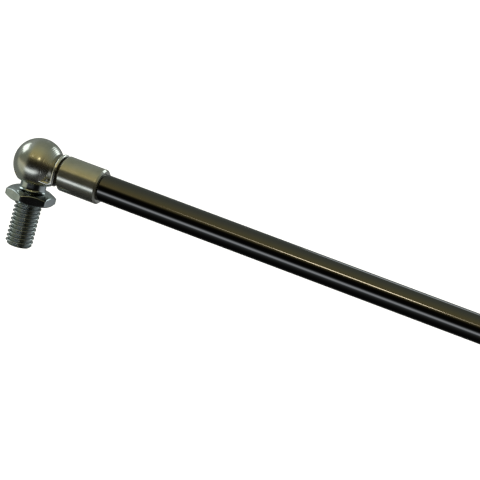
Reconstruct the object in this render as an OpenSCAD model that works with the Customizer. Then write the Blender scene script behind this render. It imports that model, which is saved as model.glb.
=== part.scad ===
// Gas strut stay with a right-angle ball joint at each end.
// The origin is the centre of the seating face of the rod-end ball stud. +Z points up from that
// face to the ball, and +X runs along the strut from the rod end to the tube end.
// Sizes are in millimetres.

/* [Strut] */
// How far the rod travels
stroke = 150; // [60:5:400]
// Length of rod that still shows when the strut is pushed right in
rod_left = 5; // [2:0.5:20]
// Diameter of the piston rod
rod_d = 8; // [7:0.2:10]
// Outside diameter of the pressure tube
tube_d = 18; // [16.5:0.2:26]
// Wall of the pressure tube
tube_wall = 1.5; // [1:0.1:2]

/* [Ball joint] */
// Diameter of the ball
ball_d = 10; // [9.5:0.5:13]
// Radial play between the ball and its socket
ball_play = 0.05; // [0.02:0.01:0.1]
// Wall of the socket's round head
head_wall = 2.35; // [1.8:0.05:4]
// Metal left under the legs of the retaining clip
clip_lip = 0.9; // [0.5:0.1:1.5]
// Room for the clip between the head and the shank
groove_room = 1.4; // [1.3:0.05:4]
// Diameter of the neck in the clip groove
groove_d = 8.4; // [8:0.1:9.4]
// Diameter of the collar that the head runs out into before the groove
collar_d = 9.4; // [8.6:0.1:10]
// Diameter of the socket's shank
shank_d = 10.4; // [10:0.2:16]
// Length of the socket's shank
shank_len = 12.4; // [11:0.05:30]
// Chamfer on both ends of the shank
shank_chamfer = 0.5; // [0.2:0.1:1]

/* [Retaining clip] */
// Diameter of the spring wire
wire_d = 1; // [0.8:0.1:1.2]
// Inside bend between the loop and its legs
clip_bend = 1.2; // [0.8:0.1:2]
// Distance from the shank's face back to the loop
clip_back = 1.4; // [0.9:0.05:1.6]

/* [Ball stud] */
// Thread diameter of the ball stud
thread_d = 8; // [5:1:10]
// Length of the stud's thread
thread_len = 13.5; // [8:0.5:30]
// Diameter of the stud's neck
neck_d = 7.6; // [5:0.1:7.8]
// Fillet where the neck meets the hexagon
neck_fillet = 1; // [0.4:0.1:1.4]
// Width across the flats of the hexagon
hex_af = 13; // [11:0.5:17]
// Height of the hexagon
hex_h = 3.3; // [2:0.1:6]
// Gap between the top of the hexagon and the socket
head_gap = 3.1; // [1.5:0.1:6]
// How far the hexagon is turned about its own axis
hex_turn = 2; // [-30:0.5:30]

/* [End threads] */
// Thread diameter that joins rod and tube to their sockets
end_thread_d = 6; // [5:0.5:7]
// Length of that thread
end_thread_len = 9; // [6:0.5:10]

/* [Seal pack] */
// Thickness of the dust wiper
wiper_t = 2; // [1.5:0.1:4]
// Length of the rod guide
guide_len = 8; // [5:0.5:20]
// Wall of the bush in the rod guide
bush_wall = 1; // [0.6:0.1:1.5]
// Length of the lip seal
seal_len = 4; // [3:0.5:8]
// Thickness of the ring behind the seal
backing_t = 1.5; // [1:0.1:3]

/* [Piston] */
// Step of the rod that carries the piston
journal_step = 1.2; // [0.8:0.1:1.6]
// Thickness of the stop washer
stop_t = 1.5; // [1:0.1:3]
// Length of the piston
piston_len = 9; // [7:0.5:20]
// Width of the piston ring
ring_w = 2.4; // [1.5:0.1:4]
// Radial thickness of the piston ring
ring_t = 1.4; // [1:0.1:1.6]
// Diameter of the metering holes
meter_d = 1.2; // [0.8:0.1:1.4]
// Number of metering holes
meter_count = 3; // [2:1:5]
// Thickness of the valve disc
disc_t = 0.5; // [0.3:0.1:1]
// Thickness of the washer under the riveted end
rivet_washer_t = 1.4; // [1:0.1:2.5]
// Height of the riveted rod end
rivet_h = 1.6; // [1:0.1:2.5]

/* [Base plug] */
// Length of the plug inside the tube
plug_len = 9; // [7:0.5:20]
// Section of the plug's O-ring
o_ring_d = 2; // [1.5:0.1:2.4]
// Free length between the pushed-in piston and the plug's bead
end_room = 2; // [1:0.5:20]

/* [Fits] */
// Radial play of the rod and of the piston ring
running_play = 0.05; // [0.02:0.01:0.09]
// Radial gap between pieces that are assembled tight
tight_gap = 0.02; // [0.01:0.01:0.05]
// Gap left at the end stop
stop_gap = 0.3; // [0.2:0.1:1]

/* [Hidden] */
$fn = 96;

// Radii
rod_r = rod_d / 2;
tube_r = tube_d / 2;
bore_r = tube_r - tube_wall;
ball_r = ball_d / 2;
seat_r = ball_r + ball_play;
head_r = seat_r + head_wall;
wire_r = wire_d / 2;
shank_r = shank_d / 2;
end_thread_r = end_thread_d / 2;
pack_r = bore_r - tight_gap;
journal_r = rod_r - journal_step;
piston_r = bore_r - 0.2;

// Retaining clip, measured from the ball's centre: its legs pass just under the ball
leg_gap = 0.38;
loop_r = groove_d / 2 + wire_r + tight_gap;
leg_drop = sqrt(pow(ball_r + wire_r + leg_gap, 2) - pow(loop_r, 2));
head_cut = leg_drop + wire_r + clip_lip;
leg_hole_r = wire_r + 0.1;
leg_end = 1 - sqrt(pow(head_r, 2) - pow(loop_r, 2) - pow(leg_drop, 2));

// Socket, measured from the ball's centre along the strut
shank_start = head_r + groove_room;
shank_end = shank_start + shank_len;
clip_x = shank_start - clip_back;
collar_end = clip_x - wire_r - 0.25;
end_thread_room = 1;

// Ball stud
ball_z = hex_h + head_gap + head_cut;
thread_chamfer = 0.8;
hex_chamfer = 0.9;
hex_foot_chamfer = 0.25;

// Beads rolled into the tube hold the packs; each is an arc about a point outside the wall
bead_r = 1.3;
bead_out = 0.3;
bead_depth = bead_r - bead_out;
bead_in_r = bead_r + tube_wall;
bead_half = sqrt(pow(bead_in_r, 2) - pow(tube_wall + bead_out, 2));
bead_lip_r = tube_r + bead_out - bead_in_r;
roll_r = 2.2;

// Places along the tube, measured from its front
wiper_at = tube_wall;
guide_at = wiper_at + wiper_t;
seal_at = guide_at + guide_len;
backing_at = seal_at + seal_len;
front_bead_at = backing_at + backing_t + bead_half;
stop_r = bore_r - 0.6;
stop_reach = sqrt(pow(bead_in_r, 2) - pow(tube_r + bead_out - stop_r, 2));
stop_at = front_bead_at + stop_reach + stop_gap;
pack_len = stop_t + piston_len + disc_t + rivet_washer_t + rivet_h;
base_bead_at = stop_at + pack_len + stroke + end_room + bead_half;
plug_at = base_bead_at + bead_half;
tube_len = plug_at + plug_len + tube_wall;

// Places along the strut, measured from the origin
tube_x = shank_end + rod_left + stroke;
stop_x = tube_x + stop_at;
piston_x = stop_x + stop_t;
disc_x = piston_x + piston_len;
rivet_washer_x = disc_x + disc_t;
rivet_x = rivet_washer_x + rivet_washer_t;
ball_span = tube_x + tube_len + shank_end;

// Piston ring groove and metering holes
groove_side_play = 0.06;
ring_at = piston_len / 2 - ring_w / 2;
ring_out_r = bore_r - running_play;
ring_in_r = ring_out_r - ring_t;
ring_groove_r = ring_in_r - running_play;
meter_r = meter_d / 2;
meter_at_r = (journal_r + ring_groove_r) / 2;
disc_r = meter_at_r + meter_r + 0.4;

// Rolled-over ends of the tube
front_lip_r = rod_r + 0.8;
base_lip_r = shank_r;

// Colours
zinc = "#9c9d92";
zinc_dark = "#85867c";
rod_black = "#17130f";
paint_black = "#1c1c1e";
rubber_black = "#101010";
steel = "#8f9194";
bronze = "#a87f3e";

// A solid of revolution about the strut's axis, from a profile of radius and length
module turned(x) {
    translate([x, 0, ball_z]) rotate([0, 90, 0]) rotate_extrude() children();
}

// A plain ring profile
module ring_profile(inner, outer, length) {
    translate([inner, 0]) square([outer - inner, length]);
}

// Rod or bar profile with a chamfer at its near end and at its far end
module bar_profile(radius, length, near, far) {
    polygon([
        [0, 0], [radius - near, 0], [radius, near],
        [radius, length - far], [radius - far, length], [0, length]
    ]);
}

// Puts a joint piece, drawn about the ball's centre, on the rod end
module at_rod_end() {
    translate([0, 0, ball_z]) children();
}

// Puts a joint piece on the tube end, facing the other way
module at_tube_end() {
    translate([ball_span, 0, ball_z]) rotate([0, 0, 180]) children();
}

// Hexagon with a turned chamfer above and a small one at the seating face
module stud_hexagon() {
    corner_r = hex_af / 2 / cos(30);
    drop = hex_chamfer * tan(30);
    intersection() {
        rotate([0, 0, 30 + hex_turn]) cylinder(r = corner_r, h = hex_h, $fn = 6);
        rotate_extrude() polygon([
            [0, 0], [hex_af / 2 - hex_foot_chamfer, 0],
            [corner_r, (corner_r - hex_af / 2 + hex_foot_chamfer) * tan(30)],
            [corner_r, hex_h - drop - (corner_r - hex_af / 2) * tan(30)],
            [hex_af / 2 - hex_chamfer, hex_h], [0, hex_h]
        ]);
    }
}

// Ball stud: ball, neck, hexagon and threaded shank in one turned piece
module ball_stud() {
    neck_r = neck_d / 2;
    union() {
        translate([0, 0, ball_z]) sphere(r = ball_r);
        cylinder(r = neck_r, h = ball_z);
        rotate_extrude() translate([0, hex_h]) difference() {
            square([neck_r + neck_fillet, neck_fillet]);
            translate([neck_r + neck_fillet, neck_fillet]) circle(r = neck_fillet);
        }
        stud_hexagon();
        translate([0, 0, thread_chamfer - thread_len])
            cylinder(r = thread_d / 2, h = thread_len - thread_chamfer);
        translate([0, 0, -thread_len])
            cylinder(r1 = thread_d / 2 - thread_chamfer, r2 = thread_d / 2, h = thread_chamfer);
    }
}

// Right-angle ball socket: round head open below, collar, clip groove, shank with a threaded hole
module ball_socket() {
    difference() {
        union() {
            difference() {
                sphere(r = head_r);
                translate([-head_r, -head_r, -head_r - head_cut])
                    cube([2 * head_r, 2 * head_r, head_r]);
            }
            rotate([0, 90, 0]) cylinder(r = collar_d / 2, h = collar_end);
            rotate([0, 90, 0]) cylinder(r = groove_d / 2, h = shank_start + shank_chamfer);
            translate([shank_start, 0, 0]) rotate([0, 90, 0]) rotate_extrude()
                bar_profile(shank_r, shank_len, shank_chamfer / 2, shank_chamfer);
        }
        sphere(r = seat_r);
        translate([0, 0, -head_r]) cylinder(r = seat_r, h = head_r);
        for (side = [-1, 1])
            translate([-head_r, side * loop_r, -leg_drop]) rotate([0, 90, 0])
                cylinder(r = leg_hole_r, h = head_r + clip_x);
        translate([shank_end - end_thread_len - end_thread_room, 0, 0]) rotate([0, 90, 0])
            cylinder(r = end_thread_r + tight_gap, h = end_thread_len + end_thread_room + 1);
    }
}

// Spring-wire clip: a loop over the neck, two sides, two bends and two legs under the ball
module retaining_clip() {
    side_len = leg_drop - clip_bend;
    leg_len = clip_x - clip_bend - leg_end;
    translate([clip_x, 0, 0]) rotate([0, 90, 0]) rotate([0, 0, 90])
        rotate_extrude(angle = 180) translate([loop_r, 0]) circle(r = wire_r);
    for (side = [-1, 1]) translate([0, side * loop_r, 0]) {
        translate([clip_x, 0, -side_len]) cylinder(r = wire_r, h = side_len);
        translate([clip_x - clip_bend, 0, -side_len]) rotate([90, 0, 0]) rotate([0, 0, -90])
            rotate_extrude(angle = 90) translate([clip_bend, 0]) circle(r = wire_r);
        translate([leg_end, 0, -leg_drop]) rotate([0, 90, 0]) cylinder(r = wire_r, h = leg_len);
    }
}

// Holes that repeat round the piston's axis
module meter_holes(radius, length) {
    for (i = [0 : meter_count - 1])
        translate([0, 0, ball_z]) rotate([i * 360 / meter_count, 0, 0])
            translate([0, 0, meter_at_r]) rotate([0, 90, 0]) cylinder(r = radius, h = length);
}

// Section of the tube where a bead is rolled in: an arc inside added, an arc outside removed
module bead_inside(at) {
    translate([tube_r + bead_out, at]) intersection() {
        circle(r = bead_in_r);
        translate([-bead_in_r, -bead_in_r]) square([bead_in_r - bead_out, 2 * bead_in_r]);
    }
}

module bead_outside(at) {
    translate([tube_r + bead_out, at]) circle(r = bead_r);
}

module rod_end_stud() {
    color(zinc_dark) ball_stud();
}

module rod_end_socket() {
    color(zinc) at_rod_end() ball_socket();
}

module rod_end_clip() {
    color(steel) at_rod_end() retaining_clip();
}

// Rod: end thread, polished bar, step for the piston and riveted end
module piston_rod() {
    thread_x = shank_end - end_thread_len;
    bar_len = stop_x - shank_end;
    head_out_r = journal_r + 1;
    color(rod_black) union() {
        turned(thread_x) bar_profile(end_thread_r, end_thread_len, 0.5, 0);
        turned(shank_end) bar_profile(rod_r, bar_len, 0.4, 0);
        turned(stop_x) ring_profile(0, journal_r, rivet_x - stop_x);
        turned(rivet_x) bar_profile(head_out_r, rivet_h, 0, rivet_h / 2);
    }
}

module stop_washer() {
    color(steel) difference() {
        turned(stop_x) ring_profile(journal_r + tight_gap, stop_r, stop_t);
        translate([stop_x - 1, 0, 0]) meter_holes(meter_r + 0.2, stop_t + 2);
    }
}

module piston() {
    land = ring_at - groove_side_play;
    groove_w = ring_w + 2 * groove_side_play;
    color(steel) difference() {
        turned(piston_x) difference() {
            ring_profile(journal_r + tight_gap, piston_r, piston_len);
            translate([ring_groove_r, land]) square([bore_r, groove_w]);
        }
        translate([piston_x - 1, 0, 0]) meter_holes(meter_r, piston_len + 2);
    }
}

module piston_ring() {
    color(rubber_black) turned(piston_x + ring_at) ring_profile(ring_in_r, ring_out_r, ring_w);
}

module valve_disc() {
    color(steel) turned(disc_x) ring_profile(journal_r + tight_gap, disc_r, disc_t);
}

module rivet_washer() {
    color(steel) turned(rivet_washer_x)
        ring_profile(journal_r + tight_gap, journal_r + 1.8, rivet_washer_t);
}

// Tube with both ends rolled over and two beads rolled in
module pressure_tube() {
    color(paint_black) turned(tube_x) difference() {
        union() {
            difference() {
                intersection() {
                    square([tube_r, tube_len]);
                    union() {
                        square([tube_r - roll_r, tube_len]);
                        translate([0, roll_r]) square([tube_r, tube_len - 2 * roll_r]);
                        for (end = [roll_r, tube_len - roll_r])
                            translate([tube_r - roll_r, end]) circle(r = roll_r);
                    }
                }
                translate([0, tube_wall]) square([bore_r, tube_len - 2 * tube_wall]);
                square([front_lip_r, tube_wall]);
                translate([0, tube_len - tube_wall]) square([base_lip_r, tube_wall]);
            }
            bead_inside(front_bead_at);
            bead_inside(base_bead_at);
        }
        bead_outside(front_bead_at);
        bead_outside(base_bead_at);
    }
}

// Wiper with a lip that leans forward on the rod
module dust_wiper() {
    wipe_r = rod_r + running_play;
    color(rubber_black) turned(tube_x + wiper_at) polygon([
        [wipe_r, -0.6], [wipe_r + 0.5, -0.6], [wipe_r + 0.7, 0], [pack_r, 0],
        [pack_r, wiper_t], [wipe_r + 0.4, wiper_t], [wipe_r, 0.6]
    ]);
}

module rod_guide() {
    color(steel) turned(tube_x + guide_at)
        ring_profile(rod_r + running_play + bush_wall + tight_gap, pack_r, guide_len);
}

module guide_bush() {
    color(bronze) turned(tube_x + guide_at)
        ring_profile(rod_r + running_play, rod_r + running_play + bush_wall, guide_len);
}

// Lip seal, open towards the gas
module rod_seal() {
    inner = rod_r + running_play;
    lip = (pack_r - inner) / 3;
    color(rubber_black) turned(tube_x + seal_at) polygon([
        [inner, 0], [pack_r, 0], [pack_r, seal_len], [pack_r - lip, seal_len],
        [(inner + pack_r) / 2, seal_len / 2], [inner + lip, seal_len], [inner, seal_len]
    ]);
}

module seal_backing_ring() {
    color(steel) turned(tube_x + backing_at)
        ring_profile(rod_r + running_play + 0.2, pack_r, backing_t);
}

// Plug with an O-ring groove, a nose in the rolled-over end and the thread for the socket
module base_plug() {
    groove_at = plug_len / 2 - o_ring_d / 2 - 0.1;
    color(steel) union() {
        turned(tube_x + plug_at) difference() {
            square([pack_r, plug_len]);
            translate([pack_r - o_ring_d, groove_at]) square([bore_r, o_ring_d + 0.2]);
        }
        turned(tube_x + plug_at + plug_len) square([base_lip_r - tight_gap, tube_wall]);
        turned(tube_x + tube_len) bar_profile(end_thread_r, end_thread_len, 0, 0.5);
    }
}

module base_plug_o_ring() {
    color(rubber_black) turned(tube_x + plug_at)
        translate([pack_r - o_ring_d / 2, plug_len / 2]) circle(r = o_ring_d / 2 - tight_gap / 2);
}

module tube_end_socket() {
    color(zinc) at_tube_end() ball_socket();
}

module tube_end_clip() {
    color(steel) at_tube_end() retaining_clip();
}

module tube_end_stud() {
    color(zinc_dark) translate([ball_span, 0, 0]) ball_stud();
}

rod_end_stud();
rod_end_socket();
rod_end_clip();
piston_rod();
stop_washer();
piston();
piston_ring();
valve_disc();
rivet_washer();
pressure_tube();
dust_wiper();
rod_guide();
guide_bush();
rod_seal();
seal_backing_ring();
base_plug();
base_plug_o_ring();
tube_end_socket();
tube_end_clip();
tube_end_stud();
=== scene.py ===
from math import acos, asin, atan2, cos, degrees, exp, hypot, pi, radians, sin, sqrt, tan

import bmesh
import bpy
from mathutils import Matrix, Vector


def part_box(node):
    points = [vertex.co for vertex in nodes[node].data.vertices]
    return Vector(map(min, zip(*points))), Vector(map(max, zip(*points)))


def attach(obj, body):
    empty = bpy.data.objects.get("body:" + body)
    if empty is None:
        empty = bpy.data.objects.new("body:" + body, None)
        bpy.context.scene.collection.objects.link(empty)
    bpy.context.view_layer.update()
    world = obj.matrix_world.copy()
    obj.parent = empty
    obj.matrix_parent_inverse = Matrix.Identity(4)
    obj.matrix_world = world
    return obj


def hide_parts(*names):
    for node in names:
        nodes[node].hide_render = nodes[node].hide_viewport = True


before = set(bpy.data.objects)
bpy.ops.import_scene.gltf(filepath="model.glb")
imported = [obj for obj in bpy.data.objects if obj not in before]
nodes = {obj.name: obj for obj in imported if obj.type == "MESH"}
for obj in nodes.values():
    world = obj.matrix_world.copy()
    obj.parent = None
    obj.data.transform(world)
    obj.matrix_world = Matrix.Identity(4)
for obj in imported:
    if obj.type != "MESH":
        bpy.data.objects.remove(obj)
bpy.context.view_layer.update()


# ---------------------------------------------------------------- piston and its washers
# The piston, its stop washer, valve disc and rivet washer are steel turnings and stampings that
# sit on a step of the rod and are held by its riveted end. They are sealed inside the tube, so
# the solids of the frame are kept and only get their finish here.
def new_material(name, colour, metallic, roughness):
    """A material with its main shader, whose even values are set on the shader itself."""
    material = bpy.data.materials.new(name)
    material.use_nodes = True
    shader = material.node_tree.nodes["Principled BSDF"]
    shader.inputs["Base Color"].default_value = (*colour, 1)
    shader.inputs["Metallic"].default_value = metallic
    shader.inputs["Roughness"].default_value = roughness
    return material


def add_node(material, kind, **inputs):
    """A shader node with its inputs set by name."""
    node = material.node_tree.nodes.new(kind)
    for key, value in inputs.items():
        node.inputs[key.replace("_", " ")].default_value = value
    return node


def stretched_noise(material, stretch, detail=3.0):
    """Noise on object coordinates, in cycles per metre along X, Y and Z."""
    links = material.node_tree.links
    place = material.node_tree.nodes.new("ShaderNodeTexCoord")
    mapping = add_node(material, "ShaderNodeMapping", Scale=stretch)
    noise = add_node(material, "ShaderNodeTexNoise", Scale=1.0, Detail=detail)
    links.new(place.outputs["Object"], mapping.inputs["Vector"])
    links.new(mapping.outputs["Vector"], noise.inputs["Vector"])
    return noise.outputs["Fac"]


def drive_roughness(material, factor, low, high):
    """Roughness follows a pattern between two values."""
    span = material.node_tree.nodes.new("ShaderNodeMapRange")
    span.inputs["From Min"].default_value = 0.3
    span.inputs["From Max"].default_value = 0.7
    span.inputs["To Min"].default_value = low
    span.inputs["To Max"].default_value = high
    links = material.node_tree.links
    links.new(factor, span.inputs["Value"])
    shader = material.node_tree.nodes["Principled BSDF"]
    links.new(span.outputs["Result"], shader.inputs["Roughness"])


def drive_colour(material, factor, colours):
    """Base colour follows a pattern through evenly spread colours."""
    ramp = material.node_tree.nodes.new("ShaderNodeValToRGB")
    stops = ramp.color_ramp.elements
    while len(stops) < len(colours):
        stops.new(0.5)
    for i, colour in enumerate(colours):
        stops[i].position = 0.3 + 0.4 * i / (len(colours) - 1)
        stops[i].color = (*colour, 1)
    links = material.node_tree.links
    links.new(factor, ramp.inputs["Fac"])
    shader = material.node_tree.nodes["Principled BSDF"]
    links.new(ramp.outputs["Color"], shader.inputs["Base Color"])


def add_bump(material, factor, depth, strength=1.0):
    """Relief of that depth in metres, laid over any relief that the shader already has."""
    links = material.node_tree.links
    shader = material.node_tree.nodes["Principled BSDF"]
    bump = add_node(material, "ShaderNodeBump", Distance=depth, Strength=strength)
    links.new(factor, bump.inputs["Height"])
    if shader.inputs["Normal"].is_linked:
        links.new(shader.inputs["Normal"].links[0].from_socket, bump.inputs["Normal"])
    links.new(bump.outputs["Normal"], shader.inputs["Normal"])


def finish_node(name, material):
    """A kept CAD node gets its finish."""
    mesh = nodes[name].data
    mesh.materials.clear()
    mesh.materials.append(material)


MM = 0.001

turned_steel = new_material("turned_steel", (0.42, 0.43, 0.44), 1.0, 0.3)
drive_roughness(turned_steel, stretched_noise(turned_steel, (900, 900, 900)), 0.22, 0.42)
add_bump(turned_steel, stretched_noise(turned_steel, (9000, 40, 40)), 0.01 * MM, 0.4)
for name in ("stop_washer", "piston", "valve_disc", "rivet_washer"):
    finish_node(name, turned_steel)

ring_plastic = new_material("filled_ring_plastic", (0.03, 0.03, 0.032), 0.0, 0.5)
drive_roughness(ring_plastic, stretched_noise(ring_plastic, (1500, 1500, 1500)), 0.42, 0.6)
finish_node("piston_ring", ring_plastic)


# ---------------------------------------------------------------- piston rod
# The rod is a steel bar 8 mm thick, ground, black nitrided and polished, so it is a glossy
# brown-black. Its near end is threaded into the socket and its far end carries the piston.
TURNS = 128


def ring_mesh(name, rings):
    """A closed skin over rings of points, which all hold the same number. Each end is a fan."""
    bm = bmesh.new()
    loops = [[bm.verts.new(point) for point in ring] for ring in rings]
    for near, far in zip(loops, loops[1:]):
        for i in range(len(near)):
            bm.faces.new((near[i - 1], near[i], far[i], far[i - 1]))
    for loop in (loops[0], loops[-1]):
        pole = bm.verts.new(sum((v.co for v in loop), Vector()) / len(loop))
        for i in range(len(loop)):
            bm.faces.new((loop[i - 1], loop[i], pole))
    bmesh.ops.remove_doubles(bm, verts=bm.verts, dist=1e-7)
    bmesh.ops.recalc_face_normals(bm, faces=bm.faces)
    mesh = bpy.data.meshes.new(name)
    bm.to_mesh(mesh)
    bm.free()
    mesh.shade_smooth()
    return mesh


def rounded_path(corners, steps=5):
    """Points of a turned outline. A corner is (place along the axis, radius, edge rounding)."""
    path = []
    for i, (along, radius, rounding) in enumerate(corners):
        corner = Vector((along, radius))
        if rounding == 0 or i in (0, len(corners) - 1):
            path.append(corner)
            continue
        back = (Vector(corners[i - 1][:2]) - corner).normalized()
        ahead = (Vector(corners[i + 1][:2]) - corner).normalized()
        half = acos(max(-1.0, min(1.0, back.dot(ahead)))) / 2
        centre = corner + (back + ahead).normalized() * rounding / sin(half)
        start = corner + back * rounding / tan(half)
        end = corner + ahead * rounding / tan(half)
        path.append(start + back * rounding * 0.3)
        first, last = start - centre, end - centre
        sweep = atan2(first.x * last.y - first.y * last.x, first.dot(last))
        for k in range(steps + 1):
            turn = sweep * k / steps
            path.append(centre + Matrix.Rotation(turn, 2) @ first)
        path.append(end + ahead * rounding * 0.3)
    return path


def turned_about_x(name, path, height, count=TURNS):
    """A solid turned about the strut's axis, from points of place along X and radius."""
    rings = []
    for along, radius in path:
        angles = (2 * pi * i / count for i in range(count))
        rings.append([(along, radius * cos(a), height + radius * sin(a)) for a in angles])
    return ring_mesh(name, rings)


def add_piece(name, mesh, material, body, slot, *replaced):
    """A finished mesh becomes a piece that rides on a body and stands for CAD nodes."""
    piece = bpy.data.objects.new(name, mesh)
    bpy.context.scene.collection.objects.link(piece)
    mesh.materials.clear()
    mesh.materials.append(material)
    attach(piece, body)
    if replaced:
        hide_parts(*replaced)
    return piece


rod_low, rod_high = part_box("piston_rod")
axis_height = (rod_low.z + rod_high.z) / 2
rod_radius = (rod_high.z - rod_low.z) / 2
end_thread_radius = 3 * MM
rod_step = 1.2 * MM
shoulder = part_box("rod_end_socket")[1].x
pack_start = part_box("stop_washer")[0].x
rivet_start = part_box("rivet_washer")[1].x
rivet_radius = rod_radius - rod_step + 1 * MM

rod_path = rounded_path([
    (rod_low.x, 0, 0),
    (rod_low.x, end_thread_radius - 0.5 * MM, 0.1 * MM),
    (rod_low.x + 0.5 * MM, end_thread_radius, 0.1 * MM),
    (shoulder, end_thread_radius, 0),
    (shoulder, rod_radius - 0.4 * MM, 0.1 * MM),
    (shoulder + 0.4 * MM, rod_radius, 0.2 * MM),
    (pack_start, rod_radius, 0.1 * MM),
    (pack_start, rod_radius - rod_step, 0),
    (rivet_start, rod_radius - rod_step, 0),
    (rivet_start, rivet_radius, 0.1 * MM),
    (rod_high.x - 0.8 * MM, rivet_radius, 0.5 * MM),
    (rod_high.x, rivet_radius - 0.8 * MM, 0.4 * MM),
    (rod_high.x, 0, 0),
])

nitrided = new_material("nitrided_steel", (0.001, 0.0008, 0.0006), 0.0, 0.05)
nitrided.node_tree.nodes["Principled BSDF"].inputs["IOR"].default_value = 2.1
drive_roughness(nitrided, stretched_noise(nitrided, (60, 500, 500)), 0.03, 0.07)
add_bump(nitrided, stretched_noise(nitrided, (14000, 60, 60), 2.0), 0.0008 * MM, 0.15)
add_bump(nitrided, stretched_noise(nitrided, (25, 1400, 1400), 2.0), 0.002 * MM, 0.15)
add_piece("rod_bar", turned_about_x("rod_bar", rod_path, axis_height), nitrided,
          "rod", "rod_black", "piston_rod")


# ---------------------------------------------------------------- wiper, guide, seal
# The pack in the mouth of the tube: a rubber wiper, a steel guide with a bronze bush, a rubber
# lip seal and a steel ring behind it. Only the wiper shows, round the rod in the rolled end.
rubber = new_material("nitrile_rubber", (0.014, 0.014, 0.015), 0.0, 0.6)
drive_roughness(rubber, stretched_noise(rubber, (1200, 1200, 1200)), 0.5, 0.75)
add_bump(rubber, stretched_noise(rubber, (4000, 4000, 4000)), 0.01 * MM, 0.3)
for name in ("dust_wiper", "rod_seal", "base_plug_o_ring"):
    finish_node(name, rubber)

bronze = new_material("bearing_bronze", (0.48, 0.31, 0.13), 1.0, 0.3)
drive_roughness(bronze, stretched_noise(bronze, (800, 800, 800)), 0.25, 0.4)
finish_node("guide_bush", bronze)
for name in ("rod_guide", "seal_backing_ring"):
    finish_node(name, turned_steel)


# ---------------------------------------------------------------- pressure tube
# A drawn steel tube, 18 mm outside, painted satin black. Both ends are rolled over, and a bead
# is rolled in behind the seal pack and in front of the base plug to hold them.
tube_low, tube_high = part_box("pressure_tube")
tube_radius = (tube_high.z - tube_low.z) / 2
tube_wall = 1.5 * MM
roll_radius = 2.2 * MM
bead_radius = 1.3 * MM
bead_outside = 0.3 * MM
bead_inside = bead_radius + tube_wall
mouth_radius = rod_radius + 0.8 * MM
base_mouth_radius = 5.2 * MM
bead_half = sqrt(bead_inside ** 2 - (tube_wall + bead_outside) ** 2)
front_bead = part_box("seal_backing_ring")[1].x + bead_half
plug_low, plug_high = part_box("base_plug")
base_bead = plug_low.x - bead_half


def bead_points(place, radius, outline_radius, steps=14):
    """Arc of a rolled bead about a point outside the tube, where it dips below outline_radius."""
    centre_radius = tube_radius + bead_outside
    reach = acos((centre_radius - outline_radius) / radius)
    for k in range(steps + 1):
        turn = reach * (2 * k / steps - 1)
        yield Vector((place + radius * sin(turn), centre_radius - radius * cos(turn)))


def tube_outline():
    """Closed outline of the wall: outside from front to back, then inside to the front."""
    bore = tube_radius - tube_wall
    outside = rounded_path([
        (tube_low.x + tube_wall, mouth_radius, 0),
        (tube_low.x, mouth_radius, 0.3 * MM),
        (tube_low.x, tube_radius, roll_radius),
        (front_bead, tube_radius, 0),
    ], 10)[:-1]
    outside += bead_points(front_bead, bead_radius, tube_radius)
    outside += bead_points(base_bead, bead_radius, tube_radius)
    outside += rounded_path([
        (base_bead, tube_radius, 0),
        (tube_high.x, tube_radius, roll_radius),
        (tube_high.x, base_mouth_radius, 0.3 * MM),
        (tube_high.x - tube_wall, base_mouth_radius, 0),
    ], 10)[1:]
    inside = [Vector((tube_high.x - tube_wall, bore))]
    inside += reversed(list(bead_points(base_bead, bead_inside, bore)))
    inside += reversed(list(bead_points(front_bead, bead_inside, bore)))
    inside += [Vector((tube_low.x + tube_wall, bore))]
    return outside + inside


def hollow_about_x(name, outline, height, count=TURNS):
    """A ring-shaped solid turned about the strut's axis from a closed outline."""
    bm = bmesh.new()
    loops = []
    for i in range(count):
        turn = 2 * pi * i / count
        loops.append([bm.verts.new((p.x, p.y * cos(turn), height + p.y * sin(turn)))
                      for p in outline])
    for i in range(count):
        for k in range(len(outline)):
            bm.faces.new((loops[i - 1][k - 1], loops[i - 1][k], loops[i][k], loops[i][k - 1]))
    bmesh.ops.recalc_face_normals(bm, faces=bm.faces)
    mesh = bpy.data.meshes.new(name)
    bm.to_mesh(mesh)
    bm.free()
    mesh.shade_smooth()
    mesh.set_sharp_from_angle(angle=radians(35))
    return mesh


tube_paint = new_material("satin_black_paint", (0.011, 0.011, 0.012), 0.0, 0.3)
drive_roughness(tube_paint, stretched_noise(tube_paint, (350, 350, 350)), 0.24, 0.36)
add_bump(tube_paint, stretched_noise(tube_paint, (900, 900, 900), 1.0), 0.02 * MM, 0.25)
add_bump(tube_paint, stretched_noise(tube_paint, (5000, 5000, 5000), 1.0), 0.004 * MM, 0.3)
add_piece("tube_shell", hollow_about_x("tube_shell", tube_outline(), axis_height), tube_paint,
          "tube", "tube_paint", "pressure_tube")


# ---------------------------------------------------------------- base plug
# A turned and zinc-plated steel plug with an O-ring. It is held by the rolled-over end, and its
# threaded stud carries the socket of the tube end.
plug_steel = new_material("plated_plug_steel", (0.5, 0.51, 0.5), 1.0, 0.3)
drive_roughness(plug_steel, stretched_noise(plug_steel, (700, 700, 700)), 0.25, 0.4)
add_bump(plug_steel, stretched_noise(plug_steel, (9000, 40, 40)), 0.01 * MM, 0.4)
finish_node("base_plug", plug_steel)


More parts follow.
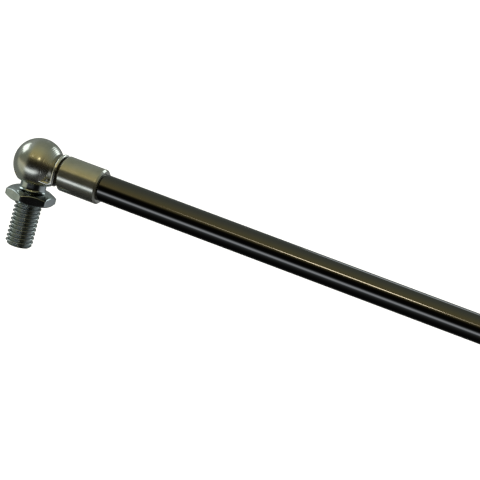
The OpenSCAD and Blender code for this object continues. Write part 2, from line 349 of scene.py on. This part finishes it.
# ---------------------------------------------------------------- ball sockets
# Each socket is turned from steel bar and zinc plated: a round head bored from below for the
# ball, a collar with tool marks, a groove for the clip darkened with painted shade and some
# grime, and a shank that is screwed on the rod or the plug. The collar face by the groove has
# painted shade.
socket_low, socket_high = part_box("rod_end_socket")
ball_span = sum(c.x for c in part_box("tube_end_stud")) / 2
head_radius = -socket_low.x
head_cut = axis_height - socket_low.z
shank_radius = 5.2 * MM
shank_length = 12.4 * MM
shank_start = socket_high.x - shank_length
groove_radius = 4.2 * MM
seat_radius = 5.05 * MM
collar_radius = 4.7 * MM
loop_radius = 4.72 * MM
wire_radius = 0.5 * MM
clip_low, clip_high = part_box("rod_end_clip")
collar_end = clip_high.x - 2 * wire_radius - 0.25 * MM
leg_drop = axis_height - clip_low.z - wire_radius
thread_depth = 10 * MM
tool_grooves = [place * MM for place in (3.9, 4.35, 4.8, 5.2)]
tool_groove_width = 0.09 * MM
tool_groove_depth = 0.03 * MM


def arc_path(centre, radius, start, end, steps):
    """Points of an arc about a place on the axis. Degrees run from the near pole, 0, to 180."""
    for k in range(steps + 1):
        turn = radians(start + (end - start) * k / steps)
        yield Vector((centre - radius * cos(turn), radius * sin(turn)))


def socket_path():
    """Outline of the socket before it is bored: head, groove, shank and threaded hole."""
    collar_turn = 180 - degrees(asin(collar_radius / head_radius))
    head = list(arc_path(0, head_radius, 0, 118, 60))
    head += list(arc_path(0, head_radius, 118.5, collar_turn - 2, 90))
    for point in head:
        depth = sum(exp(-((point.x - place) / tool_groove_width) ** 2) for place in tool_grooves)
        point *= 1 - depth * tool_groove_depth / head_radius
    hole_radius = end_thread_radius + 0.02 * MM
    rest = rounded_path([
        (head[-1].x, head[-1].y, 0),
        (head_radius * cos(radians(180 - collar_turn)), collar_radius, 0.3 * MM),
        (collar_end, collar_radius, 0.1 * MM),
        (collar_end, groove_radius, 0.05 * MM),
        (shank_start, groove_radius, 0.2 * MM),
        (shank_start, shank_radius - 0.15 * MM, 0.05 * MM),
        (shank_start + 0.15 * MM, shank_radius, 0.1 * MM),
        (socket_high.x - 0.5 * MM, shank_radius, 0.15 * MM),
        (socket_high.x, shank_radius - 0.5 * MM, 0.1 * MM),
        (socket_high.x, hole_radius + 0.3 * MM, 0.05 * MM),
        (socket_high.x - 0.3 * MM, hole_radius, 0.05 * MM),
        (socket_high.x - thread_depth, hole_radius, 0.05 * MM),
        (socket_high.x - thread_depth - 1 * MM, 0, 0),
    ])
    return head + rest[1:]


def turned_about_z(name, path, count=TURNS):
    """A solid turned about the stud's axis, from points of height and radius."""
    rings = []
    for height, radius in path:
        angles = (2 * pi * i / count for i in range(count))
        rings.append([(radius * cos(a), radius * sin(a), height) for a in angles])
    return ring_mesh(name, rings)


def carved(name, mesh, cutters):
    """The mesh with the cutters taken out of it, as a plain mesh."""
    body = bpy.data.objects.new(name, mesh)
    bpy.context.scene.collection.objects.link(body)
    tools = []
    for cutter in cutters:
        tool = bpy.data.objects.new(cutter.name, cutter)
        bpy.context.scene.collection.objects.link(tool)
        cut = body.modifiers.new(cutter.name, "BOOLEAN")
        cut.object = tool
        cut.operation = "DIFFERENCE"
        cut.solver = "EXACT"
        tools.append(tool)
    depsgraph = bpy.context.evaluated_depsgraph_get()
    result = bpy.data.meshes.new_from_object(body.evaluated_get(depsgraph))
    for tool in (body, *tools):
        bpy.data.objects.remove(tool)
    result.name = name
    result.shade_smooth()
    result.set_sharp_from_angle(angle=radians(28))
    return result


def socket_cutters():
    """The seat for the ball with its mouth and flat, and the two ways for the clip's legs."""
    flat = axis_height - head_cut
    seat = [Vector((axis_height + p.x, p.y)) for p in arc_path(0, seat_radius, 180, 90, 40)]
    mouth = rounded_path([
        (axis_height, seat_radius, 0),
        (flat + 0.2 * MM, seat_radius, 0.05 * MM),
        (flat, seat_radius + 0.2 * MM, 0.05 * MM),
        (flat, head_radius, 0),
        (flat - 4 * MM, head_radius, 0),
        (flat - 4 * MM, 0, 0),
    ])
    cutters = [turned_about_z("seat_cutter", seat + mouth[1:])]
    for side in (-1, 1):
        way = turned_about_x("leg_way", [
            (-head_radius, 0), (-head_radius, wire_radius + 0.1 * MM),
            (clip_high.x - wire_radius, wire_radius + 0.1 * MM), (clip_high.x - wire_radius, 0),
        ], axis_height - leg_drop, 32)
        way.transform(Matrix.Translation((0, side * loop_radius, 0)))
        cutters.append(way)
    return cutters


def zinc_plate(name, colours, roughness, ring_axis):
    """Bright zinc on turned steel: faint turning rings, soft blotches and small pits."""
    material = new_material(name, colours[0], 1.0, roughness)
    rings = (12000, 30, 30) if ring_axis == "X" else (30, 30, 12000)
    drive_colour(material, stretched_noise(material, (260, 260, 260), 4.0), colours)
    add_bump(material, stretched_noise(material, rings, 2.0), 0.003 * MM, 0.3)
    add_bump(material, stretched_noise(material, (1300, 1300, 1300), 3.0), 0.004 * MM, 0.2)
    return material


def along_of(material):
    """Distance from the centre of the ball along the strut, stored on the socket's mesh."""
    along = material.node_tree.nodes.new("ShaderNodeAttribute")
    along.attribute_name = "along"
    return along.outputs["Fac"]


def eased_between(material, value, low, high, start, end):
    """A value that goes smoothly from start to end while another goes from low to high."""
    span = material.node_tree.nodes.new("ShaderNodeMapRange")
    span.interpolation_type = "SMOOTHSTEP"
    for key, given in (("From Min", low), ("From Max", high), ("To Min", start), ("To Max", end)):
        span.inputs[key].default_value = given
    material.node_tree.links.new(value, span.inputs["Value"])
    return span.outputs["Result"]


def combined(material, operation, *values):
    """Two shader values put through one operation."""
    node = material.node_tree.nodes.new("ShaderNodeMath")
    node.operation = operation
    for slot_in, value in zip(node.inputs, values):
        if isinstance(value, float):
            slot_in.default_value = value
        else:
            material.node_tree.links.new(value, slot_in)
    return node.outputs[0]


def grime_and_painted_shade(material, attribute, colour, roughness):
    """Painted shade and grime where an attribute is 1: it darkens the metal's colour and makes it
    dull.
    """
    links = material.node_tree.links
    shader = material.node_tree.nodes["Principled BSDF"]
    share = material.node_tree.nodes.new("ShaderNodeAttribute")
    share.attribute_name = attribute
    for key, given in (("Base Color", (*colour, 1)), ("Roughness", (roughness,) * 3 + (1,))):
        blend = material.node_tree.nodes.new("ShaderNodeMixRGB")
        blend.inputs["Color2"].default_value = given
        links.new(share.outputs["Fac"], blend.inputs["Fac"])
        links.new(shader.inputs[key].links[0].from_socket, blend.inputs["Color1"])
        links.new(blend.outputs["Color"], shader.inputs[key])


# The head is satin and the shank is smoother. Tool marks grow from the middle of the head to the
# groove and fade out before the shank.
satin_end = 6.2 * MM
shank_face = 8.8 * MM
marks_start = 1.5 * MM
marks_full = 5.0 * MM
marks_fade = 7.0 * MM
mark_depth = 0.015 * MM

socket_zinc = zinc_plate(
    "socket_zinc", [(0.52, 0.54, 0.48), (0.6, 0.61, 0.56), (0.64, 0.65, 0.62)], 0.13, "X")
socket_links = socket_zinc.node_tree.links
socket_shader = socket_zinc.node_tree.nodes["Principled BSDF"]
along = along_of(socket_zinc)
patches = stretched_noise(socket_zinc, (700, 700, 700), 4.0)
satin = eased_between(socket_zinc, along, satin_end, shank_face, 0.18, 0.1)
satin = combined(socket_zinc, "MULTIPLY_ADD", patches, 0.06, satin)
socket_links.new(satin, socket_shader.inputs["Roughness"])
metal_share = eased_between(socket_zinc, along, satin_end, shank_face, 0.92, 0.72)
socket_links.new(metal_share, socket_shader.inputs["Metallic"])
tool_marks = add_node(socket_zinc, "ShaderNodeTexNoise", Scale=2500, Detail=1.0)
tool_marks.noise_dimensions = "1D"
socket_links.new(along, tool_marks.inputs["W"])
near_groove = eased_between(socket_zinc, along, marks_start, marks_full, 0.0, 1.0)
before_shank = eased_between(socket_zinc, along, marks_fade, shank_face, 1.0, 0.12)
marked = combined(socket_zinc, "MULTIPLY", near_groove, before_shank)
marks = combined(socket_zinc, "MULTIPLY", tool_marks.outputs["Fac"], marked)
add_bump(socket_zinc, marks, mark_depth)
# Painted shade in the clip's groove and on the collar face beside it, in a dark grime colour.
grime_and_painted_shade(socket_zinc, "painted_shade_and_grime", (0.07, 0.062, 0.045), 0.4)

socket_mesh = carved(
    "socket_head", turned_about_x("socket_blank", socket_path(), axis_height), socket_cutters())
# Share of the painted shade: full in the groove behind the clip, where some grime also sits, and
# half on the collar face beside it.
groove_shade_and_grime = 1.0
collar_painted_shade = 0.5
collar_start = 5.0 * MM
distance = socket_mesh.attributes.new("along", "FLOAT", "POINT")
painted_shade_and_grime = socket_mesh.attributes.new("painted_shade_and_grime", "FLOAT", "POINT")
for i, vertex in enumerate(socket_mesh.vertices):
    distance.data[i].value = vertex.co.x
    from_axis = hypot(vertex.co.y, vertex.co.z - axis_height)
    in_groove = collar_end - 0.01 * MM < vertex.co.x < shank_start + 0.01 * MM
    on_collar = collar_start < vertex.co.x < collar_end and from_axis < collar_radius + 0.1 * MM
    if in_groove and from_axis < groove_radius + 0.3 * MM:
        painted_shade_and_grime.data[i].value = groove_shade_and_grime
    elif on_collar:
        painted_shade_and_grime.data[i].value = collar_painted_shade
to_tube_end = Matrix.Translation((ball_span, 0, 0)) @ Matrix.Rotation(pi, 4, "Z")
far_socket_mesh = socket_mesh.copy()
far_socket_mesh.transform(to_tube_end)
add_piece("rod_socket_turned", socket_mesh, socket_zinc, "rod", "socket_zinc", "rod_end_socket")
add_piece("tube_socket_turned", far_socket_mesh, socket_zinc, "tube", "socket_zinc",
          "tube_end_socket")


# ---------------------------------------------------------------- retaining clips
# A clip is one length of 1 mm plated spring wire. It is looped over the neck of the socket, and
# its two legs go through the head just under the ball, so that the ball can't drop out.
clip_bend = 1.2 * MM
loop_place = clip_high.x - wire_radius
leg_end = clip_low.x


def clip_route():
    """Centre line of the wire, from the tip of one leg over the neck to the tip of the other."""
    bend_height = axis_height - leg_drop + clip_bend
    side = [Vector((leg_end, loop_radius, axis_height - leg_drop))]
    for k in range(9):
        turn = pi / 2 * k / 8
        side.append(Vector((loop_place - clip_bend + clip_bend * sin(turn), loop_radius,
                            bend_height - clip_bend * cos(turn))))
    over = []
    for k in range(1, 48):
        turn = pi * k / 48
        over.append(Vector((loop_place, loop_radius * cos(turn),
                            axis_height + loop_radius * sin(turn))))
    top_of_side = [Vector((loop_place, loop_radius, axis_height))]
    near_half = side + top_of_side
    far_half = [Vector((p.x, -p.y, p.z)) for p in reversed(near_half)]
    return near_half + over + far_half


def new_tree(name, sizes):
    """A Geometry Nodes tree with a mesh or curve in, a mesh out and named sizes."""
    tree = bpy.data.node_groups.new(name, "GeometryNodeTree")
    tree.interface.new_socket("Geometry", in_out="INPUT", socket_type="NodeSocketGeometry")
    for key, value in sizes.items():
        socket = tree.interface.new_socket(key, in_out="INPUT", socket_type="NodeSocketFloat")
        socket.default_value = value
    tree.interface.new_socket(
        "Material", in_out="INPUT", socket_type="NodeSocketMaterial")
    tree.interface.new_socket("Geometry", in_out="OUTPUT", socket_type="NodeSocketGeometry")
    return tree


def end_tree(tree, source, geometry):
    """Closes a tree: realized instances, then the material, then the output."""
    realize = tree.nodes.new("GeometryNodeRealizeInstances")
    paint = tree.nodes.new("GeometryNodeSetMaterial")
    output = tree.nodes.new("NodeGroupOutput")
    tree.links.new(geometry, realize.inputs[0])
    tree.links.new(realize.outputs[0], paint.inputs["Geometry"])
    tree.links.new(source.outputs["Material"], paint.inputs["Material"])
    tree.links.new(paint.outputs[0], output.inputs[0])


def grown(name, data, tree, sizes, material):
    """The plain mesh that a tree makes on the data, with its inputs set by identifier."""
    carrier = bpy.data.objects.new(name, data)
    bpy.context.scene.collection.objects.link(carrier)
    modifier = carrier.modifiers.new(name, "NODES")
    modifier.node_group = tree
    given = dict(sizes, Material=material)
    for socket in tree.interface.items_tree:
        if socket.in_out == "INPUT" and socket.name in given:
            modifier[socket.identifier] = given[socket.name]
    depsgraph = bpy.context.evaluated_depsgraph_get()
    mesh = bpy.data.meshes.new_from_object(carrier.evaluated_get(depsgraph))
    carrier.modifiers.remove(modifier)
    bpy.data.objects.remove(carrier)
    mesh.name = name
    return mesh


def wire_tree():
    """Round wire along a curve, with closed ends."""
    tree = new_tree("wire", {"Wire radius": 0.5 * MM})
    source = tree.nodes.new("NodeGroupInput")
    section = tree.nodes.new("GeometryNodeCurvePrimitiveCircle")
    section.inputs["Resolution"].default_value = 24
    sweep = tree.nodes.new("GeometryNodeCurveToMesh")
    sweep.inputs["Fill Caps"].default_value = True
    smooth = tree.nodes.new("GeometryNodeSetShadeSmooth")
    tree.links.new(source.outputs["Wire radius"], section.inputs["Radius"])
    tree.links.new(source.outputs["Geometry"], sweep.inputs["Curve"])
    tree.links.new(section.outputs[0], sweep.inputs["Profile Curve"])
    tree.links.new(sweep.outputs[0], smooth.inputs[0])
    end_tree(tree, source, smooth.outputs[0])
    return tree


spring_wire = new_material("plated_spring_wire", (0.95, 0.96, 0.9), 1.0, 0.25)
drive_roughness(spring_wire, stretched_noise(spring_wire, (900, 900, 900)), 0.2, 0.3)
add_bump(spring_wire, stretched_noise(spring_wire, (900, 900, 900)), 0.002 * MM, 0.2)

route = bpy.data.curves.new("clip_route", "CURVE")
route.dimensions = "3D"
points = clip_route()
line = route.splines.new("POLY")
line.points.add(len(points) - 1)
for place, point in zip(points, line.points):
    point.co = (*place, 1)
clip_mesh = grown("clip_wire", route, wire_tree(), {"Wire radius": wire_radius}, spring_wire)
clip_mesh.set_sharp_from_angle(angle=radians(40))
far_clip_mesh = clip_mesh.copy()
far_clip_mesh.transform(to_tube_end)
add_piece("rod_clip_wire", clip_mesh, spring_wire, "rod", "spring_wire", "rod_end_clip")
add_piece("tube_clip_wire", far_clip_mesh, spring_wire, "tube", "spring_wire", "tube_end_clip")


# ---------------------------------------------------------------- ball studs
# A stud is turned from hexagon bar and zinc plated: a ball on a neck, a hexagon flange chamfered
# by the lathe and a rolled M8 thread with a bevelled tip.
stud_low, stud_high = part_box("rod_end_stud")
ball_radius = stud_high.z - axis_height
thread_radius = 4 * MM
thread_length = -stud_low.z
thread_pitch = 1.25 * MM
neck_radius = 3.8 * MM
hexagon_width = 13 * MM
hexagon_height = 3.3 * MM
hexagon_turn = radians(2)
hexagon_bevel = 0.9 * MM
edge_softness = 0.16 * MM


def hexagon_reach(angle):
    """Distance from the axis to the side of the hexagon, with slightly rounded corners."""
    sharpness = 70
    total = 0.0
    for side in range(6):
        facing = cos(angle - hexagon_turn - side * pi / 3)
        total += max(facing, 0.0) ** sharpness
    return hexagon_width / 2 * total ** (-1 / sharpness)


def soft_min(a, b, softness):
    """The smaller of two distances, blended where they are close."""
    near = max(softness - abs(a - b), 0) / softness
    return min(a, b) - near * near * softness / 4


def stud_rings(count=192):
    """Rings of the stud from the top of its ball down to the seating face."""
    corner = hexagon_width / 2 / cos(pi / 6) + 0.3 * MM
    slope = tan(pi / 6)
    flat_edge = hexagon_width / 2 - hexagon_bevel
    foot_edge = hexagon_width / 2 - 0.25 * MM
    top_turn = degrees(asin(1.6 * MM / ball_radius))
    neck_turn = 180 - degrees(asin((neck_radius + 0.25 * MM) / ball_radius))
    ball = [Vector((axis_height - p.x, p.y))
            for p in arc_path(0, ball_radius, top_turn, neck_turn, 56)]
    body = [Vector((ball[0].x, 0)), ball[0].copy()] + ball
    body += rounded_path([
        (ball[-1].x, ball[-1].y, 0),
        (ball[-1].x - 0.4 * MM, neck_radius, 0.4 * MM),
        (hexagon_height, neck_radius, 1.0 * MM),
        (hexagon_height, flat_edge, 0.25 * MM),
        (hexagon_height - (corner - flat_edge) * slope, corner, 0),
    ])[1:]
    cone_top, cone_end = body[-2], body[-1]
    cone = [cone_top.lerp(cone_end, k / 24) for k in range(1, 25)]
    foot_height = (corner - foot_edge) * slope
    side = [Vector((cone_end.x + (foot_height - cone_end.x) * k / 4, corner))
            for k in range(1, 5)]
    foot = [Vector((foot_height * (1 - k / 10), corner - (corner - foot_edge) * k / 10))
            for k in range(1, 11)]
    seat = [Vector((0, foot_edge - 0.1 * MM)), Vector((0, thread_radius - 0.4 * MM))]
    rings = []
    for place in body[:-1] + cone + side + foot + seat:
        ring = []
        for i in range(count):
            angle = 2 * pi * i / count + hexagon_turn
            reach = place.y
            if reach > hexagon_width / 2 - 3 * edge_softness:
                reach = soft_min(reach, hexagon_reach(angle), edge_softness)
            ring.append((reach * cos(angle), reach * sin(angle), place.x))
        rings.append(ring)
    return rings


def thread_tree():
    """A rolled right-hand thread on a bar that hangs from a height down the stud's axis."""
    tree = new_tree("rolled_thread", {
        "Radius": 4 * MM, "Length": 13.5 * MM, "Top": 0.4 * MM, "Pitch": 1.25 * MM,
        "Depth": 0.74 * MM, "Bevel": 0.8 * MM, "Run-out": 0.5 * MM})
    source = tree.nodes.new("NodeGroupInput")
    sizes = source.outputs

    def maths(operation, *values):
        node = tree.nodes.new("ShaderNodeMath")
        node.operation = operation
        for slot_in, value in zip(node.inputs, values):
            if isinstance(value, (int, float)):
                slot_in.default_value = value
            else:
                tree.links.new(value, slot_in)
        return node.outputs[0]

    def eased(value, low, high):
        node = tree.nodes.new("ShaderNodeMapRange")
        node.interpolation_type = "SMOOTHSTEP"
        for key, given in (("Value", value), ("From Min", low), ("From Max", high)):
            if isinstance(given, (int, float)):
                node.inputs[key].default_value = given
            else:
                tree.links.new(given, node.inputs[key])
        return node.outputs["Result"]

    bar = tree.nodes.new("GeometryNodeMeshCylinder")
    bar.inputs["Vertices"].default_value = 96
    bar.inputs["Side Segments"].default_value = 230
    tree.links.new(sizes["Radius"], bar.inputs["Radius"])
    whole = maths("ADD", sizes["Length"], sizes["Top"])
    tree.links.new(whole, bar.inputs["Depth"])
    position = tree.nodes.new("GeometryNodeInputPosition")
    split = tree.nodes.new("ShaderNodeSeparateXYZ")
    tree.links.new(position.outputs[0], split.inputs[0])
    x, y = split.outputs["X"], split.outputs["Y"]
    z = maths("ADD", split.outputs["Z"], maths("SUBTRACT", sizes["Top"],
                                               maths("MULTIPLY", whole, 0.5)))
    turn = maths("DIVIDE", maths("ARCTAN2", y, x), 2 * pi)
    phase = maths("FRACT", maths("SUBTRACT", maths("DIVIDE", z, sizes["Pitch"]), turn))
    flank = maths("ABSOLUTE", maths("SUBTRACT", maths("MULTIPLY", phase, 2), 1))
    groove = eased(flank, 0.12, 0.92)
    started = eased(maths("MULTIPLY", z, -1), 0.0, sizes["Run-out"])
    cut = maths("MULTIPLY", maths("MULTIPLY", groove, started), sizes["Depth"])
    threaded = maths("SUBTRACT", sizes["Radius"], cut)
    tip = maths("ADD", z, sizes["Length"])
    bevelled = maths("ADD", maths("SUBTRACT", sizes["Radius"], sizes["Bevel"]), tip)
    reach = maths("MINIMUM", threaded, bevelled)
    scale = maths("DIVIDE", reach, sizes["Radius"])
    joined = tree.nodes.new("ShaderNodeCombineXYZ")
    tree.links.new(maths("MULTIPLY", x, scale), joined.inputs["X"])
    tree.links.new(maths("MULTIPLY", y, scale), joined.inputs["Y"])
    tree.links.new(z, joined.inputs["Z"])
    place = tree.nodes.new("GeometryNodeSetPosition")
    tree.links.new(bar.outputs["Mesh"], place.inputs["Geometry"])
    tree.links.new(joined.outputs[0], place.inputs["Position"])
    # The groove attribute marks the thread roots, where the finish paints shade with some grime.
    store = tree.nodes.new("GeometryNodeStoreNamedAttribute")
    store.inputs["Name"].default_value = "groove"
    tree.links.new(place.outputs[0], store.inputs["Geometry"])
    tree.links.new(maths("MULTIPLY", eased(groove, -0.6, 0.9), started), store.inputs["Value"])
    smooth = tree.nodes.new("GeometryNodeSetShadeSmooth")
    tree.links.new(store.outputs[0], smooth.inputs[0])
    end_tree(tree, source, smooth.outputs[0])
    return tree


stud_zinc = zinc_plate(
    "stud_zinc", [(0.4, 0.46, 0.46), (0.5, 0.56, 0.56), (0.56, 0.62, 0.62)], 0.09, "Z")
drive_roughness(stud_zinc, stretched_noise(stud_zinc, (700, 700, 700), 4.0), 0.09, 0.15)
# Thread roots darkened: painted shade with some grime, by the groove attribute of the thread
# tree.
grime_and_painted_shade(stud_zinc, "groove", (0.33, 0.365, 0.355), 0.26)
thread_sizes = {"Radius": thread_radius, "Length": thread_length, "Pitch": thread_pitch}
thread_mesh = grown("stud_thread", bpy.data.meshes.new("thread_base"), thread_tree(),
                    thread_sizes, stud_zinc)
stud_mesh = ring_mesh("stud_body", stud_rings())


def joined_meshes(name, *parts):
    """Several closed meshes as one."""
    bm = bmesh.new()
    for part in parts:
        bm.from_mesh(part)
    mesh = bpy.data.meshes.new(name)
    bm.to_mesh(mesh)
    bm.free()
    return mesh


stud_whole = joined_meshes("ball_stud", thread_mesh, stud_mesh)
stud_whole.set_sharp_from_angle(angle=radians(50))
far_stud = stud_whole.copy()
far_stud.transform(Matrix.Translation((ball_span, 0, 0)))
add_piece("rod_stud_turned", stud_whole, stud_zinc, "rod_stud", "stud_zinc", "rod_end_stud")
add_piece("tube_stud_turned", far_stud, stud_zinc, "tube_stud", "stud_zinc", "tube_end_stud")


# ---------------------------------------------------------------- studio
# A pale floor well under the strut, a soft sky for the polished steel to mirror and soft lamps:
# a box to the left, one behind on the right, a small warm one above the head, two narrow ones
# that draw a warm line on the rod and one that lights the rod's top edge.
FLOOR_DROP = 0.3
FLOOR_SIZE = 16.0

floor_mesh = bpy.data.meshes.new("floor")
half_floor = FLOOR_SIZE / 2
floor_mesh.from_pydata(
    [(-half_floor, -half_floor, -FLOOR_DROP), (half_floor, -half_floor, -FLOOR_DROP),
     (half_floor, half_floor, -FLOOR_DROP), (-half_floor, half_floor, -FLOOR_DROP)],
    [], [(0, 1, 2, 3)])
floor = bpy.data.objects.new("floor", floor_mesh)
bpy.context.scene.collection.objects.link(floor)
pale = new_material("pale_floor", (0.9, 0.9, 0.9), 0.0, 0.9)
pale_shader = pale.node_tree.nodes["Principled BSDF"]
pale_shader.inputs["Emission Color"].default_value = (1, 1, 1, 1)
pale_shader.inputs["Emission Strength"].default_value = 1.0
floor_mesh.materials.append(pale)
floor.visible_glossy = False
floor.visible_diffuse = False

# Colours of the surroundings in three slices across the strut: beyond its rod end, abreast of it
# and towards its tube end. Each runs by the angle up from straight ahead of the strut's near
# side, over the top and down behind it.
SURROUND = {
    "rod_end": [
        (-180, (0.16, 0.18, 0.17)), (-150, (0.19, 0.20, 0.18)), (-75, (0.20, 0.22, 0.19)),
        (-54, (0.54, 0.54, 0.43)), (-38, (0.50, 0.51, 0.42)), (-24, (0.66, 0.64, 0.50)),
        (-12, (0.50, 0.47, 0.34)), (-2, (0.20, 0.20, 0.15)), (40, (0.20, 0.22, 0.17)),
        (55, (0.24, 0.27, 0.22)), (70, (0.31, 0.34, 0.30)),
        (100, (0.34, 0.37, 0.34)), (150, (0.26, 0.28, 0.26)), (180, (0.16, 0.18, 0.17)),
    ],
    "abreast": [
        (-180, (0.16, 0.17, 0.17)), (-150, (0.12, 0.12, 0.12)), (-110, (0.01, 0.01, 0.01)),
        (-90, (0.01, 0.01, 0.01)), (-72, (0.02, 0.02, 0.02)), (-58, (0.045, 0.047, 0.045)),
        (-46, (0.13, 0.14, 0.14)), (-39.5, (0.40, 0.44, 0.47)), (-35.5, (1.38, 1.44, 1.50)),
        (-26.5, (1.38, 1.44, 1.50)), (-21, (0.33, 0.35, 0.38)), (-15, (0.05, 0.05, 0.05)),
        (-8, (0.008, 0.008, 0.008)), (12, (0.008, 0.006, 0.004)), (22, (0.05, 0.042, 0.02)),
        (28, (0.20, 0.17, 0.08)), (34, (0.48, 0.395, 0.175)), (44, (0.48, 0.395, 0.175)),
        (60, (0.41, 0.37, 0.185)), (76, (0.34, 0.33, 0.20)), (100, (0.255, 0.265, 0.20)),
        (125, (0.20, 0.22, 0.18)), (150, (0.22, 0.24, 0.22)), (180, (0.16, 0.17, 0.17)),
    ],
    "tube_end": [
        (-180, (0.42, 0.43, 0.45)), (-120, (0.28, 0.28, 0.28)), (-75, (0.14, 0.14, 0.14)),
        (-60, (0.08, 0.08, 0.08)), (-46, (0.012, 0.012, 0.012)), (-28, (0.006, 0.006, 0.006)),
        (10, (0.010, 0.008, 0.006)), (25, (0.05, 0.04, 0.025)), (40, (0.18, 0.15, 0.07)),
        (55, (0.26, 0.23, 0.12)), (80, (0.25, 0.24, 0.15)), (105, (0.24, 0.26, 0.20)),
        (130, (0.36, 0.40, 0.40)), (150, (0.38, 0.42, 0.42)), (180, (0.42, 0.43, 0.45)),
    ],
}
SURROUND_PEAK = 1.5


def build_world():
    """Surroundings that colour everything but the camera's own background, which is white."""
    world = bpy.data.worlds.new("studio")
    bpy.context.scene.world = world
    world.use_nodes = True
    tree = world.node_tree
    tree.nodes.clear()
    link = tree.links.new
    direction = tree.nodes.new("ShaderNodeTexCoord")
    split = tree.nodes.new("ShaderNodeSeparateXYZ")
    ahead = tree.nodes.new("ShaderNodeMath")
    ahead.operation = "MULTIPLY"
    ahead.inputs[1].default_value = -1
    angle = tree.nodes.new("ShaderNodeMath")
    angle.operation = "ARCTAN2"
    span = tree.nodes.new("ShaderNodeMapRange")
    span.inputs["From Min"].default_value = -pi
    span.inputs["From Max"].default_value = pi
    link(direction.outputs["Generated"], split.inputs[0])
    link(split.outputs["Y"], ahead.inputs[0])
    link(split.outputs["Z"], angle.inputs[0])
    link(ahead.outputs[0], angle.inputs[1])
    link(angle.outputs[0], span.inputs["Value"])

    def ramp_of(slice_name):
        ramp = tree.nodes.new("ShaderNodeValToRGB")
        stops = ramp.color_ramp.elements
        while len(stops) < len(SURROUND[slice_name]):
            stops.new(0.5)
        for stop, (degrees_up, colour) in zip(stops, SURROUND[slice_name]):
            stop.position = (degrees_up + 180) / 360
            stop.color = (*(c / SURROUND_PEAK for c in colour), 1)
        link(span.outputs["Result"], ramp.inputs["Fac"])
        return ramp.outputs["Color"]

    colour = ramp_of("abreast")
    for slice_name, start, end in (("rod_end", -0.4, -0.66), ("tube_end", 0.1, 0.62)):
        share = tree.nodes.new("ShaderNodeMapRange")
        share.interpolation_type = "SMOOTHSTEP"
        share.inputs["From Min"].default_value = start
        share.inputs["From Max"].default_value = end
        link(split.outputs["X"], share.inputs["Value"])
        blend = tree.nodes.new("ShaderNodeMixRGB")
        link(share.outputs["Result"], blend.inputs["Fac"])
        link(colour, blend.inputs["Color1"])
        link(ramp_of(slice_name), blend.inputs["Color2"])
        colour = blend.outputs["Color"]

    around = tree.nodes.new("ShaderNodeBackground")
    around.inputs["Strength"].default_value = SURROUND_PEAK
    white = tree.nodes.new("ShaderNodeBackground")
    white.inputs["Color"].default_value = (1, 1, 1, 1)
    rays = tree.nodes.new("ShaderNodeLightPath")
    mix = tree.nodes.new("ShaderNodeMixShader")
    output = tree.nodes.new("ShaderNodeOutputWorld")
    link(colour, around.inputs["Color"])
    link(rays.outputs["Is Camera Ray"], mix.inputs["Fac"])
    link(around.outputs[0], mix.inputs[1])
    link(white.outputs[0], mix.inputs[2])
    link(mix.outputs[0], output.inputs["Surface"])


build_world()


def add_lamp(name, place, size, brightness, colour, aim, spread=180, shape="RECTANGLE"):
    """A soft lamp that faces a point. Brightness is that of its face, spread in degrees."""
    lamp = bpy.data.lights.new(name, "AREA")
    lamp.shape = shape
    lamp.size, lamp.size_y = size
    lamp.energy = brightness * pi * size[0] * size[1]
    lamp.color = colour
    lamp.spread = radians(spread)
    holder = bpy.data.objects.new(name, lamp)
    bpy.context.scene.collection.objects.link(holder)
    holder.location = place
    holder.rotation_euler = (aim - Vector(place)).to_track_quat("-Z", "Y").to_euler()
    holder.visible_camera = False


ball_centre = Vector((0, 0, axis_height))
add_lamp("left_box", ball_centre + Vector((-0.86, 0.05, 0.50)) * 1.2, (0.72, 0.43), 2.1,
         (0.95, 1.0, 1.0), ball_centre)
add_lamp("back_box", ball_centre + Vector((0.36, 0.75, 0.555)) * 1.2, (0.52, 0.46), 1.8,
         (0.93, 1.0, 1.0), ball_centre)
add_lamp("small_lamp", ball_centre + Vector((0.275, -0.78, 0.562)), (0.09, 0.09), 7.0,
         (1.0, 0.84, 0.5), ball_centre)
add_lamp("long_line", Vector((-0.178, -0.587, 0.455)), (0.17, 0.03), 0.02,
         (1.0, 0.87, 0.62), Vector((0.105, 0, axis_height)), 14, "ELLIPSE")
add_lamp("short_line", Vector((-0.170, -0.587, 0.455)), (0.08, 0.045), 0.035,
         (1.0, 0.87, 0.62), Vector((0.105, 0, axis_height)), 14, "ELLIPSE")
add_lamp("rim_lamp", Vector((-0.13, 0.62, 0.45)), (0.15, 0.2), 0.012,
         (0.9, 0.97, 1.0), Vector((0.165, 0, axis_height)), 18, "ELLIPSE")

# The camera is far off with a long lens, so that the strut is seen almost without perspective.
AZIMUTH = radians(22.7)
ELEVATION = radians(13.5)
ROLL = radians(15.0)
DISTANCE = 1.45
LENS = 386.4
aim_along = 66.37 * MM

back = Vector((sin(AZIMUTH) * cos(ELEVATION), -cos(AZIMUTH) * cos(ELEVATION), sin(ELEVATION)))
level = Vector((cos(AZIMUTH), sin(AZIMUTH), 0))
upward = back.cross(level)
right = level * cos(ROLL) + upward * sin(ROLL)
up = upward * cos(ROLL) - level * sin(ROLL)
aim_point = Vector((aim_along, 0, axis_height - 0.26 * MM))

camera_data = bpy.data.cameras.new("camera")
camera_data.lens = LENS
camera_data.clip_start = 0.05
camera_data.clip_end = 50
camera = bpy.data.objects.new("camera", camera_data)
bpy.context.scene.collection.objects.link(camera)
turned = Matrix((right, up, back)).transposed().to_4x4()
camera.matrix_world = Matrix.Translation(aim_point + back * DISTANCE) @ turned
bpy.context.scene.camera = camera
bpy.context.scene.view_settings.view_transform = "Standard"
